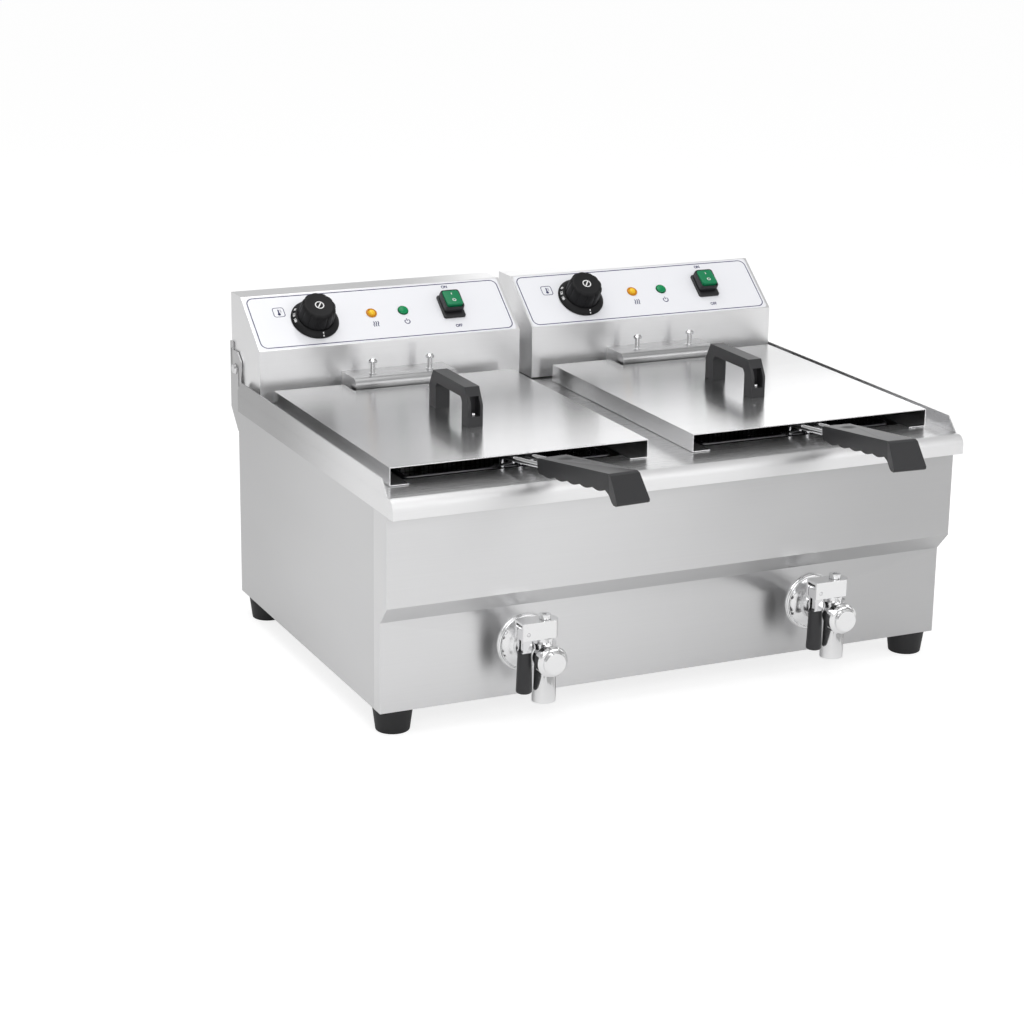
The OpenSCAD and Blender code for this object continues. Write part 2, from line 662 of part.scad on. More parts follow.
// Two nested hairpins that drop from the bracket and run forward along the tank's floor.
module heating_element(side) color("dimgray") on_side(side, head_x) {
    for (x = lead_x) translate([x, 0, 0]) {
        translate([0, lead_y, element_z + elbow_r]) cylinder(r = element_r, h = bracket_top - 6 - element_z - elbow_r);
        translate([0, lead_y - elbow_r, element_z + elbow_r]) rotate([0, 90, 0])
            rotate_extrude(angle = 90) translate([elbow_r, 0]) circle(element_r, $fn = 24);
        translate([0, 0, element_z]) along_y(element_r, abs(x) > 30 ? element_tip + 28 : element_tip, lead_y - elbow_r);
    }
    for (r = [22, 50]) translate([0, r > 30 ? element_tip + 28 : element_tip, element_z]) rotate([0, 0, 180])
        rotate_extrude(angle = 180) translate([r, 0]) circle(element_r, $fn = 24);
    // terminal block inside the bracket
    translate([-56, lead_y - 7, bracket_top - 16]) cube([112, 12.5, 8]);
}

module left_heating_element() heating_element(left);
module right_heating_element() heating_element(right);

// Thermostat with its shaft through the panel, and the sensing bulb along the heater.
module thermostat(side) color("silver") {
    on_slope(side, knob_at[0], knob_at[1]) {
        translate([0, 0, -head_sheet - 24]) cylinder(r = 20, h = 24);
        translate([0, 0, -head_sheet]) cylinder(r = 3, h = 22);
    }
    on_side(side, head_x) {
        translate([0, lead_y + 7, 148]) cylinder(r = 1.5, h = bracket_top - 4 - 148, $fn = 16);
        translate([0, lead_y - 1, 148]) rotate([0, 90, 0]) rotate_extrude(angle = 90)
            translate([8, 0]) circle(1.5, $fn = 16);
        translate([0, 0, 140]) along_y(3.2, 240, lead_y - 1);
        translate([0, lead_y + 7, bracket_top - 5.6]) along_y(1.6, -1, 35);
        translate([0, lead_y + 41, bracket_top - 5.6]) along_x(1.4, knob_at[0] - 1, 1);
        translate([knob_at[0], lead_y + 41, bracket_top - 6]) cylinder(r = 1.6, h = 26);
    }
}

module left_thermostat() thermostat(left);
module right_thermostat() thermostat(right);

// ---- controls ----

knob_grips = 12;
knob_taper = 11.6;

// Round control knob with a skirt for the dial and a crown of finger grips.
module knob(side) color(plastic) on_slope(side, knob_at[0], knob_at[1]) translate([0, 0, gap]) difference() {
    union() {
        cylinder(r = 29.3, h = 1.5);
        translate([0, 0, 1.5]) cylinder(r1 = 29.3, r2 = 24.6, h = 4);
        difference() {
            translate([0, 0, 5]) cylinder(r1 = 23.3, r2 = 19, h = 21);
            for (i = [0:knob_grips - 1]) rotate(i * 360 / knob_grips) translate([25.6, 0, 6.5])
                rotate([0, -knob_taper, 0]) cylinder(r = 3.6, h = 30);
        }
        translate([0, 0, 25.9]) cylinder(r1 = 18.2, r2 = 16.8, h = 1.9);
    }
    translate([0, 0, -1]) cylinder(r = 3 + fit_gap, h = 22);
    translate([0, 0, -1]) cylinder(r = 18, h = 5);
}

module left_knob() knob(left);
module right_knob() knob(right);

module lamp(side, at, tint) color(tint) on_slope(side, at[0], at[1]) {
    cylinder(r = 6.6, h = 1.4);
    translate([0, 0, 1.4]) cylinder(r1 = 5.2, r2 = 3.6, h = 2.4);
    translate([0, 0, -16]) cylinder(r = 4.9, h = 16.5);
}

module left_heat_lamp() lamp(left, heat_lamp_at, "orange");
module right_heat_lamp() lamp(right, heat_lamp_at, "orange");
module left_power_lamp() lamp(left, power_lamp_at, "green");
module right_power_lamp() lamp(right, power_lamp_at, "green");

rocker_size = [20, 23];

// Rocker switch housing with a raised bezel.
module switch_body(side) color(plastic) on_slope(side, switch_at[0], switch_at[1]) difference() {
    union() {
        translate([0, 0, 1.5]) cube([switch_size[0], switch_size[1], 3], center = true);
        translate([0, 1, 6]) cube([switch_size[0] - 3, switch_size[1] - 7, 9], center = true);
        translate([0, 0, -11]) cube([switch_size[0] - 5.4, switch_size[1] - 5.4, 22], center = true);
    }
    translate([0, 1, 6]) cube([rocker_size[0] + 1, rocker_size[1] + 3, 12], center = true);
    translate([0, 1, 6]) along_x(1.5 + fit_gap, -12, 12);
}

module left_switch_body() switch_body(left);
module right_switch_body() switch_body(right);

// Rocker on its two short pins.
module switch_rocker(side) color("seagreen") on_slope(side, switch_at[0], switch_at[1]) translate([0, 1, 0]) {
    translate([-rocker_size[0] / 2, 0, 0]) rotate([90, 0, 90]) linear_extrude(rocker_size[0])
        polygon([[-rocker_size[1] / 2 + 1, 2.5], [rocker_size[1] / 2 - 1, 2.5], [rocker_size[1] / 2, 10.5],
                 [0, 12], [-rocker_size[1] / 2, 14.5]]);
    translate([0, 0, 6]) along_x(1.5, -rocker_size[0] / 2 - 1.6, rocker_size[0] / 2 + 1.6);
}

module left_switch_rocker() switch_rocker(left);
module right_switch_rocker() switch_rocker(right);

cabinet_shell();
front_panel();
base_plate();
worktop();
rubber_feet();
foot_screws();
left_tank();
right_tank();
tap_rosettes();
tap_bodies();
tap_plugs();
hinge_brackets();
left_tap_hood();
right_tap_hood();
left_tap_stem();
right_tap_stem();
left_tap_arm();
right_tap_arm();
left_tap_grip();
right_tap_grip();
left_heater_guard();
right_heater_guard();
left_basket();
right_basket();
left_basket_handle();
right_basket_handle();
left_basket_grip();
right_basket_grip();
left_lid();
right_lid();
left_lid_handle();
right_lid_handle();
left_lid_screws();
right_lid_screws();
left_head_shell();
right_head_shell();
left_head_back();
right_head_back();
left_hinge_bolts();
right_hinge_bolts();
left_heater_bracket();
right_heater_bracket();
left_hook_studs();
right_hook_studs();
left_heating_element();
right_heating_element();
left_thermostat();
right_thermostat();
left_knob();
right_knob();
left_heat_lamp();
right_heat_lamp();
left_power_lamp();
right_power_lamp();
left_switch_body();
right_switch_body();
left_switch_rocker();
right_switch_rocker();
left_cable_gland();
right_cable_gland();
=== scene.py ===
import json
import math

import bmesh
import bpy
import numpy as np
from mathutils import Euler, Matrix, Vector


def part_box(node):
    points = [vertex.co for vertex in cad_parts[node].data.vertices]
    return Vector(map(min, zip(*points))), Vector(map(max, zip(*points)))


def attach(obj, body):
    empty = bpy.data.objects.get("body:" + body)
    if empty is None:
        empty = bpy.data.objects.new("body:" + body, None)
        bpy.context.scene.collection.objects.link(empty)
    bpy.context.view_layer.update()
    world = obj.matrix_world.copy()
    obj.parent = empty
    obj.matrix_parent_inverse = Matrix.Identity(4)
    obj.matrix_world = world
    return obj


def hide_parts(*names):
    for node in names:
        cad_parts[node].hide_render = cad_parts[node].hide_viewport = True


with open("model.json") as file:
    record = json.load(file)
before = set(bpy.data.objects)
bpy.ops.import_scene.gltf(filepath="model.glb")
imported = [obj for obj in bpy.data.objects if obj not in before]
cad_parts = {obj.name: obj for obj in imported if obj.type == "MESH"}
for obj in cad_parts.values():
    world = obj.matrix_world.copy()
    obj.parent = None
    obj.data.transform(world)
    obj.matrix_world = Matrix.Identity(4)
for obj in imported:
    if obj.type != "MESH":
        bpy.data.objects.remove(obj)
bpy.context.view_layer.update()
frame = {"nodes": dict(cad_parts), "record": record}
nodes = frame["nodes"]
bodyOf = {name: body for body, names in frame["record"]["behaviour"]["bodies"].items()
          for name in names}
sides = {"left": -1, "right": 1}
mm = 0.001

# places in millimetres: x from the fryer's middle, y from the lower front panel, z from the floor;
# the panel stands that far ahead of the shell, and what lies ahead of noseY is the worktop's nose
fryer = {"tankX": 180.0, "headX": 175.7, "slopeFoot": (391.6, 338.0), "slopeTop": (456.9, 390.0),
         "panelAhead": 17.0, "noseY": -26.0}
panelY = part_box("cabinet_shell")[0].y / mm - fryer["panelAhead"]
slopeAngle = math.atan2(fryer["slopeTop"][1] - fryer["slopeFoot"][1],
                        fryer["slopeTop"][0] - fryer["slopeFoot"][0])
print("frame loaded,", len(nodes), "nodes")


# millimetres from the lower front panel to metres in the fryer's frame
def placed(points, x=0.0):
    points = np.asarray(points, float).reshape(-1, 3)
    return (points + (x, panelY, 0.0)) * mm


# x across a head, y up its sloping panel and z out of it, turned by the slope's angle about X
def onSlope(points, side, x=0.0, s=0.0):
    points = np.asarray(points, float).reshape(-1, 3) + (x, s, 0.0)
    c, k = math.cos(slopeAngle), math.sin(slopeAngle)
    y = points[:, 1] * c - points[:, 2] * k + fryer["slopeFoot"][0]
    z = points[:, 1] * k + points[:, 2] * c + fryer["slopeFoot"][1]
    return placed(np.stack([points[:, 0], y, z], 1), side * fryer["headX"])


# points closer than this are merged, in metres: in a new piece, and in a copy of a CAD part
mergeWithin = {"new": 1e-6, "copied": 2e-6}


# merges what meets, drops faces without area and turns every face outwards
def closeUp(mesh, turn=True):
    work = bmesh.new()
    work.from_mesh(mesh)
    bmesh.ops.remove_doubles(work, verts=work.verts, dist=mergeWithin["new"])
    bmesh.ops.dissolve_degenerate(work, dist=mergeWithin["new"], edges=work.edges)
    if turn:
        bmesh.ops.recalc_face_normals(work, faces=work.faces)
    work.to_mesh(mesh)
    work.free()


# gives a piece its finish and its body, and hides the CAD nodes it stands for;
# edges that turn by more than sharpFrom degrees are shaded sharp
def ridden(piece, body, finish, standsFor=(), sharpFrom=35.0):
    piece.data.materials.clear()
    piece.data.materials.append(finish)
    piece.data.shade_smooth()
    piece.data.set_sharp_from_angle(angle=math.radians(sharpFrom))
    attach(piece, body)
    if standsFor:
        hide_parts(*standsFor)


def newPiece(name, points, faces, turn=True):
    mesh = bpy.data.meshes.new(name)
    mesh.from_pydata(np.asarray(points).tolist(), [], [list(f) for f in faces])
    mesh.validate()
    closeUp(mesh, turn=turn)
    piece = bpy.data.objects.new(name, mesh)
    bpy.context.scene.collection.objects.link(piece)
    return piece


# quads between the rows and columns of a grid, closed round the columns
def gridFaces(rows, columns, closeRows=False, closeColumns=True):
    r = np.arange(rows if closeRows else rows - 1)
    c = np.arange(columns if closeColumns else columns - 1)
    r, c = np.meshgrid(r, c, indexing="ij")
    nextRow, nextColumn = (r + 1) % rows, (c + 1) % columns
    quads = np.stack([r * columns + c, r * columns + nextColumn,
                      nextRow * columns + nextColumn, nextRow * columns + c], -1)
    return quads.reshape(-1, 4)


# a profile of (radius, height) turned once round Z
def turned(profile, steps):
    profile = np.asarray(profile, float)
    angle = np.linspace(0, 2 * math.pi, steps, endpoint=False)
    x = profile[:, 0:1] * np.cos(angle)
    y = profile[:, 0:1] * np.sin(angle)
    z = np.repeat(profile[:, 1:2], steps, 1)
    return np.stack([x, y, z], -1).reshape(-1, 3), gridFaces(len(profile), steps)


# outline of a rectangle with round corners, as points once round it: a quarter circle at each
# corner, its centre a radius in from both sides
def roundedOutline(width, height, radius, steps=10):
    quarter = np.linspace(0, math.pi / 2, steps)
    centres = ((1, 1), (-1, 1), (-1, -1), (1, -1))
    turns = [np.stack([sx * (width / 2 - radius) + radius * np.cos(quarter + i * math.pi / 2),
                       sy * (height / 2 - radius) + radius * np.sin(quarter + i * math.pi / 2)], 1)
             for i, (sx, sy) in enumerate(centres)]
    return np.concatenate(turns)


# points along part of a circle, from one angle in degrees to another
def arc(radius, start, end, steps=28, centre=(0.0, 0.0)):
    angle = np.radians(np.linspace(start, end, steps))
    return np.stack([centre[0] + radius * np.cos(angle), centre[1] + radius * np.sin(angle)], 1)


# a full circle, each point once
def circle(radius, steps, centre=(0.0, 0.0)):
    return arc(radius, 0, 360, steps + 1, centre)[:-1]


# an outline in X and Y lifted to one height
def lifted(outline, height):
    return np.column_stack([outline, np.full(len(outline), height)])


# a flat plate: an outline at two heights, with both ends closed
def plateOf(outline, low, high):
    n = len(outline)
    points = np.concatenate([lifted(outline, low), lifted(outline, high)])
    faces = [list(q) for q in gridFaces(2, n)] + [list(range(n))[::-1], list(range(n, 2 * n))]
    return points, faces


# a flat band between two outlines of the same number of points
def bandOf(outer, inner, height):
    return np.concatenate([lifted(outer, height), lifted(inner, height)]), gridFaces(2, len(outer))


# a flat stripe of even width along a line of points: each point moved half the width to both
# sides, square to the line
def stripe(line, width, height=0.0):
    line = np.asarray(line, float)
    along = np.gradient(line, axis=0)
    along /= np.linalg.norm(along, axis=1)[:, None]
    across = np.stack([-along[:, 1], along[:, 0]], 1) * width / 2
    rows = np.stack([line - across, line + across], 1).reshape(-1, 2)
    return lifted(rows, height), gridFaces(len(line), 2, closeColumns=False)[:, ::-1]


# several point sets and their faces as one
def joined(parts):
    points, faces, count = [], [], 0
    for p, f in parts:
        points.append(np.asarray(p, float).reshape(-1, 3))
        faces += [[int(i) + count for i in face] for face in f]
        count += len(points[-1])
    return np.concatenate(points), faces


# letters: their size for a capital's height of 1, how bold they are drawn, and steps a curve
letters = {"size": 1.38, "bold": 0.05, "steps": 4}


# lettering as a flat mesh, its middle at the origin, its capitals of the height given
def lettering(words, height, wide):
    curve = bpy.data.curves.new("words", "FONT")
    curve.body, curve.size = words, height * letters["size"]
    curve.align_x, curve.align_y = "CENTER", "CENTER"
    curve.resolution_u, curve.offset = letters["steps"], height * letters["bold"]
    holder = bpy.data.objects.new("words", curve)
    bpy.context.scene.collection.objects.link(holder)
    bpy.context.view_layer.update()
    mesh = bpy.data.meshes.new_from_object(
        holder.evaluated_get(bpy.context.evaluated_depsgraph_get()))
    points = np.zeros(len(mesh.vertices) * 3)
    mesh.vertices.foreach_get("co", points)
    faces = [list(face.vertices) for face in mesh.polygons]
    bpy.data.objects.remove(holder)
    bpy.data.curves.remove(curve)
    bpy.data.meshes.remove(mesh)
    return points.reshape(-1, 3) * (wide, 1, 1), faces


# map of a sheet's grain: v runs along the grain and u across it, in metres, each laid in its
# face's plane; a face that the grain meets end on takes the next axis instead
def grainMap(mesh, grain, endOnFrom=0.9):
    points, normals = np.zeros(len(mesh.vertices) * 3), np.zeros(len(mesh.polygons) * 3)
    corners, sizes = np.zeros(len(mesh.loops), int), np.zeros(len(mesh.polygons), int)
    mesh.vertices.foreach_get("co", points)
    mesh.polygons.foreach_get("normal", normals)
    mesh.loops.foreach_get("vertex_index", corners)
    mesh.polygons.foreach_get("loop_total", sizes)
    n = np.repeat(normals.reshape(-1, 3), sizes, 0)
    place = points.reshape(-1, 3)[corners]
    along = np.tile(np.asarray(grain, float), (len(n), 1))
    endOn = np.abs((n * along).sum(1)) > endOnFrom
    along[endOn] = np.roll(along[endOn], 1, 1)
    along -= n * (n * along).sum(1, keepdims=True)
    along /= np.linalg.norm(along, axis=1, keepdims=True)
    across = np.cross(n, along)
    flat = np.stack([(place * across).sum(1), (place * along).sum(1)], 1)
    mesh.uv_layers.new(name="grain").data.foreach_set("uv", flat.ravel())


# folds of a dressed CAD part: faces within "flat" degrees of each other become one, edges over
# "sharp" degrees are rounded, with "wideSegments" from a rounding of "wide" millimetres on
folds = {"flat": 0.4, "sharp": 32.0, "wide": 1.0, "segments": 2, "wideSegments": 3}


# a copy of a CAD part with its flat faces made whole, its edges rounded and its curves smooth
def dressed(node, finish, rounding):
    mesh = nodes[node].data.copy()
    mesh.name = node + "_skin"
    work = bmesh.new()
    work.from_mesh(mesh)
    bmesh.ops.remove_doubles(work, verts=work.verts, dist=mergeWithin["copied"])
    bmesh.ops.dissolve_limit(work, angle_limit=math.radians(folds["flat"]), verts=work.verts,
                             edges=work.edges)
    work.to_mesh(mesh)
    work.free()
    if finish in grainOf:
        grainMap(mesh, grainOf[finish])
    piece = bpy.data.objects.new(node + "_skin", mesh)
    bpy.context.scene.collection.objects.link(piece)
    ridden(piece, bodyOf[node], finish, (node,), sharpFrom=folds["sharp"])
    if rounding:
        bevel = piece.modifiers.new("folds", "BEVEL")
        bevel.width = rounding * mm
        bevel.segments = folds["wideSegments"] if rounding > folds["wide"] else folds["segments"]
        bevel.limit_method, bevel.angle_limit = "ANGLE", math.radians(folds["sharp"])
        bevel.harden_normals = True
        bevel.use_clamp_overlap = True


def shaderOf(name):
    finish = bpy.data.materials.new(name)
    finish.use_nodes = True
    return finish, finish.node_tree, finish.node_tree.nodes["Principled BSDF"]


# a finish that is even all over: moulded plastic, rubber, ink, film, lenses and smooth metal
def plain(name, colour, roughness, metal=0.0, coat=0.0, specular=0.5):
    finish, _, shader = shaderOf(name)
    shader.inputs["Base Color"].default_value = (*colour, 1)
    shader.inputs["Roughness"].default_value = roughness
    shader.inputs["Metallic"].default_value = metal
    shader.inputs["Coat Weight"].default_value = coat
    shader.inputs["Specular IOR Level"].default_value = specular
    return finish


# brushed steel: how far streaks and clouds move the tone, how far the streaks move the roughness,
# the bump's strength and height in metres, how far reflections spread across the grain, and the
# noise scales along and across it
brushing = {"streak": 0.025, "cloud": 0.04, "spread": 0.04, "bump": 0.015, "bumpHeight": 0.0002,
            "stretch": 0.8, "streakScale": (8, 1400), "streakDetail": 3.0,
            "cloudScale": (3, 9), "cloudDetail": 1.0}
grainOf = {}


# brushed sheet: noise drawn out along the grain moves tone and roughness and gives a fine bump,
# a broad soft noise clouds the tone, and reflections spread across the grain
def brushed(name, colour, roughness, grain, paintedFade=None):
    finish, tree, shader = shaderOf(name)
    grainOf[finish] = grain
    streak, cloud, spread = brushing["streak"], brushing["cloud"], brushing["spread"]
    place = tree.nodes.new("ShaderNodeTexCoord")
    fine = noiseOf(tree, place, grain, brushing["streakScale"], brushing["streakDetail"])
    broad = noiseOf(tree, place, grain, brushing["cloudScale"], brushing["cloudDetail"])
    share = tree.nodes.new("ShaderNodeMix")
    share.data_type = "FLOAT"
    share.inputs["Factor"].default_value = cloud / (streak + cloud)
    tone = tree.nodes.new("ShaderNodeMix")
    tone.data_type = "RGBA"
    tone.inputs["A"].default_value = (*[c * (1 - streak - cloud) for c in colour], 1)
    tone.inputs["B"].default_value = (*[c * (1 + streak + cloud) for c in colour], 1)
    band = tree.nodes.new("ShaderNodeMapRange")
    band.inputs["To Min"].default_value = roughness - spread
    band.inputs["To Max"].default_value = roughness + spread
    bump = tree.nodes.new("ShaderNodeBump")
    bump.inputs["Strength"].default_value = brushing["bump"]
    bump.inputs["Distance"].default_value = brushing["bumpHeight"]
    lay = tree.nodes.new("ShaderNodeTangent")
    lay.direction_type, lay.uv_map = "UV_MAP", "grain"
    tree.links.new(fine.outputs["Fac"], share.inputs["A"])
    tree.links.new(broad.outputs["Fac"], share.inputs["B"])
    tree.links.new(share.outputs["Result"], tone.inputs["Factor"])
    # where given, a painted reflection fades the tone: lighter at one end of the sheet, darker at
    # the other
    colours = paintedReflectionFade(tree, place, tone, *paintedFade) if paintedFade else tone.outputs["Result"]
    tree.links.new(colours, shader.inputs["Base Color"])
    tree.links.new(fine.outputs["Fac"], band.inputs["Value"])
    tree.links.new(band.outputs["Result"], shader.inputs["Roughness"])
    tree.links.new(fine.outputs["Fac"], bump.inputs["Height"])
    tree.links.new(bump.outputs["Normal"], shader.inputs["Normal"])
    tree.links.new(lay.outputs["Tangent"], shader.inputs["Tangent"])
    shader.inputs["Metallic"].default_value = 1.0
    shader.inputs["Anisotropic"].default_value = brushing["stretch"]
    return finish


# a painted reflection: a sheet's tone scaled by a share that changes smoothly along X or Y, each
# end a (place, share), so the sheet is lighter at one end and darker at the other
def paintedReflectionFade(tree, place, tone, axis, start, end):
    split = tree.nodes.new("ShaderNodeSeparateXYZ")
    fall = tree.nodes.new("ShaderNodeMapRange")
    fall.interpolation_type = "SMOOTHSTEP"
    fall.inputs["From Min"].default_value, fall.inputs["To Min"].default_value = start
    fall.inputs["From Max"].default_value, fall.inputs["To Max"].default_value = end
    product = tree.nodes.new("ShaderNodeVectorMath")
    product.operation = "SCALE"
    tree.links.new(place.outputs["Object"], split.inputs[0])
    tree.links.new(split.outputs[axis], fall.inputs["Value"])
    tree.links.new(tone.outputs["Result"], product.inputs[0])
    tree.links.new(fall.outputs["Result"], product.inputs["Scale"])
    return product.outputs["Vector"]


# noise with one scale along the grain and another across it
def noiseOf(tree, place, grain, scales, detail):
    stretch = tree.nodes.new("ShaderNodeMapping")
    stretch.inputs["Scale"].default_value = [scales[0] if g else scales[1] for g in grain]
    noise = tree.nodes.new("ShaderNodeTexNoise")
    noise.inputs["Scale"].default_value = 1.0
    noise.inputs["Detail"].default_value = detail
    tree.links.new(place.outputs["Object"], stretch.inputs["Vector"])
    tree.links.new(stretch.outputs["Vector"], noise.inputs["Vector"])
    return noise


alongX, alongY, alongZ = (1, 0, 0), (0, 1, 0), (0, 0, 1)
finishes = {
    # name, tone, roughness, grain and where the painted reflection fades the tone from lighter to
    # darker
    "frontSheet": brushed("front sheet", (0.70, 0.70, 0.705), 0.30, alongX,
                          ("X", (-0.25, 1.14), (0.30, 0.80))),
    "topSheet": brushed("top sheet", (0.77, 0.77, 0.775), 0.28, alongX,
                        ("Y", (-0.12, 1.20), (0.20, 0.56))),
    "sideSheet": brushed("side sheet", (0.74, 0.74, 0.745), 0.34, alongY,
                         ("Y", (-0.08, 0.98), (0.30, 0.80))),
    "headSheet": brushed("head sheet", (0.93, 0.93, 0.935), 0.30, alongX),
    "bracketSheet": brushed("bracket sheet", (0.50, 0.50, 0.505), 0.28, alongX),
    # the nose's brighter tone is a painted highlight; its higher roughness is its own
    "noseSheetPaintedHighlight": brushed("nose sheet painted highlight", (0.97, 0.97, 0.975), 0.46, alongX),
    "lidSheet": brushed("lid sheet", (0.74, 0.74, 0.745), 0.24, alongX,
                        ("Y", (-0.13, 1.20), (0.20, 0.72))),
    "innerSheet": brushed("inner sheet", (0.50, 0.50, 0.51), 0.36, alongZ),
    # name, colour, roughness and metal
    "chrome": plain("polished chrome", (0.80, 0.80, 0.81), 0.06, 1.0),
    "tapMetal": plain("satin chrome", (0.90, 0.90, 0.905), 0.17, 1.0),
    "wire": plain("drawn wire", (0.72, 0.72, 0.73), 0.18, 1.0),
    # the basket's mesh and rim wires are steel given dark tones: painted shade for their place
    # under the lid
    "meshWireShaded": plain("mesh wire in painted shade", (0.27, 0.27, 0.28), 0.30, 1.0),
    "rimWire": plain("rim wire in painted shade", (0.13, 0.13, 0.135), 0.34, 1.0),
    "heaterTube": plain("heater tube", (0.33, 0.32, 0.31), 0.38, 1.0),
    "footRubber": plain("foot rubber", (0.010, 0.010, 0.011), 0.55),
    "gripPlastic": plain("grip plastic", (0.022, 0.022, 0.024), 0.42),
    "controlPlastic": plain("control plastic", (0.016, 0.016, 0.018), 0.44),
    "knobPlastic": plain("knob plastic", (0.009, 0.009, 0.010), 0.50, specular=0.22),
    "amberLens": plain("amber lens", (0.62, 0.25, 0.008), 0.25, coat=0.1, specular=0.25),
    "amberCore": plain("amber core", (0.98, 0.60, 0.02), 0.25, coat=0.2, specular=0.3),
    "greenLens": plain("green lens", (0.0, 0.26, 0.085), 0.25, coat=0.1, specular=0.25),
    "greenEdge": plain("green edge", (0.0, 0.10, 0.035), 0.3, specular=0.25),
    "rockerGreen": plain("rocker green", (0.002, 0.21, 0.08), 0.32, specular=0.3),
    "labelFilm": plain("label film", (0.87, 0.875, 0.91), 0.22, coat=0.3),
    "labelInk": plain("label ink", (0.018, 0.016, 0.10), 0.45),
    "whiteInk": plain("white ink", (0.82, 0.82, 0.82), 0.4),
}
print("finishes made")

# sheet metal and fittings: each kind of CAD part with its finish and its edges' rounding in mm
dressing = {
    "front_panel": ("frontSheet", 0.7), "cabinet_shell": ("sideSheet", 0.7),
    "worktop": ("topSheet", 0.5), "base_plate": ("innerSheet", 0.0),
    "rubber_feet": ("footRubber", 1.2), "foot_screws": ("chrome", 0.3),
    "hinge_brackets": ("sideSheet", 0.3), "tap_rosettes": ("tapMetal", 0.4),
    "tap_bodies": ("tapMetal", 0.0), "tap_plugs": ("tapMetal", 0.0), "tank": ("innerSheet", 0.0),
    "tap_hood": ("tapMetal", 1.6), "tap_stem": ("tapMetal", 0.5), "tap_arm": ("chrome", 0.5),
    "tap_grip": ("gripPlastic", 1.0), "heater_guard": ("innerSheet", 0.0),
    "basket_handle": ("wire", 0.0), "basket_grip": ("gripPlastic", 2.4),
    "lid": ("lidSheet", 0.3), "lid_handle": ("gripPlastic", 1.3), "lid_screws": ("chrome", 0.3),
    "head_shell": ("headSheet", 0.6), "head_back": ("sideSheet", 0.4),
    "hinge_bolts": ("chrome", 0.4), "heater_bracket": ("bracketSheet", 0.4),
    "hook_studs": ("chrome", 0.3), "heating_element": ("heaterTube", 0.0),
    "thermostat": ("wire", 0.0), "cable_gland": ("controlPlastic", 0.3),
}
for kind, (finish, rounding) in dressing.items():
    for node in [kind] if kind in nodes else [side + "_" + kind for side in sides]:
        dressed(node, finishes[finish], rounding)

# the worktop's nose has a rougher finish, and a brighter tone that is a painted highlight
worktop = bpy.data.objects["worktop_skin"].data
worktop.materials.append(finishes["noseSheetPaintedHighlight"])
for face in worktop.polygons:
    if face.center.y < (panelY + fryer["noseY"]) * mm:
        face.material_index = 1
print("sheet metal dressed")

# the film on a head's slope, from low to high up it, and the line printed round it
label = {"width": 329.0, "middle": -0.8, "low": 1.0, "high": 82.4, "corner": 3.0, "thick": 0.2,
         "lineInset": 2.2, "lineCorner": 9.0, "line": 1.2, "lineAbove": 0.04}


# a film plate with round corners, and a band between two rounded outlines a line's width apart
def controlPanel(name, side):
    at = label["middle"], (label["low"] + label["high"]) / 2
    width, height = label["width"], label["high"] - label["low"]
    points, faces = plateOf(roundedOutline(width, height, label["corner"]), 0.0, label["thick"])
    piece = newPiece(name + "_panel_label", onSlope(points, side, *at), faces)
    ridden(piece, name + "_head", finishes["labelFilm"])
    rims = [roundedOutline(width - 2 * label["lineInset"] - 2 * line,
                           height - 2 * label["lineInset"] - 2 * line, label["lineCorner"] - line)
            for line in (0.0, label["line"])]
    points, faces = bandOf(*rims, label["thick"] + label["lineAbove"])
    piece = newPiece(name + "_label_line", onSlope(points, side, *at), faces, turn=False)
    ridden(piece, name + "_head", finishes["labelInk"])


# ON, OFF and plain signs: places up the slope, heights, and shares of a sign's size
signs = {"on": (91.5, 74.6), "off": (91.3, 13.4), "letterHeight": 4.2, "letterWide": 0.86,
         "heat": (-12.5, 26.6), "power": (27.8, 26.4), "size": 7.6, "stroke": 0.16, "above": 0.05,
         "waveApart": 0.36, "waveSwing": 0.09, "waveReach": 0.5, "waveSteps": 17,
         "ring": 0.42, "ringFrom": 125, "ringTo": 415, "ringBar": (0.1, 0.6)}
thermometer = {"at": (-127.5, 56.0), "size": 14.5, "frameCorner": 0.22, "inner": 0.88,
               "innerCorner": 0.17, "bulb": 0.13, "bulbDown": 0.2, "bulbSteps": 23,
               "stemUp": 0.3, "stem": 0.12,
               "ticks": (0.02, 0.13, 0.24), "tickFrom": 0.12, "tickTo": 0.24, "tick": 0.05}


# three rising waves for heat: each line swings by the sine of one whole turn on its way up
def waveSign(size):
    t = np.linspace(-1, 1, signs["waveSteps"])
    parts = []
    for x in (-1, 0, 1):
        across = x * size * signs["waveApart"] + size * signs["waveSwing"] * np.sin(t * math.pi)
        line = np.stack([across, t * size * signs["waveReach"]], 1)
        parts.append(stripe(line, size * signs["stroke"]))
    return joined(parts)


# an open ring with a stroke in its gap
def powerSign(size):
    low, high = signs["ringBar"]
    ring = arc(size * signs["ring"], signs["ringFrom"], signs["ringTo"])
    return joined([stripe(ring, size * signs["stroke"]),
                   stripe([[0, size * low], [0, size * high]], size * signs["stroke"])])


# a rounded frame with a thermometer in it: a round bulb, a stem and three ticks
def thermometerSign(size):
    t = thermometer
    outer = roundedOutline(size, size, size * t["frameCorner"])
    inner = roundedOutline(size * t["inner"], size * t["inner"], size * t["innerCorner"])
    bulb = circle(size * t["bulb"], t["bulbSteps"], (0, -size * t["bulbDown"]))
    stem = stripe([[0, -size * t["bulbDown"]], [0, size * t["stemUp"]]], size * t["stem"])
    ticks = [stripe([[size * t["tickFrom"], h * size], [size * t["tickTo"], h * size]],
                    size * t["tick"]) for h in t["ticks"]]
    disc = lifted(bulb, 0.0), [list(range(len(bulb)))]
    return joined([bandOf(outer, inner, 0.0), disc, stem, *ticks])


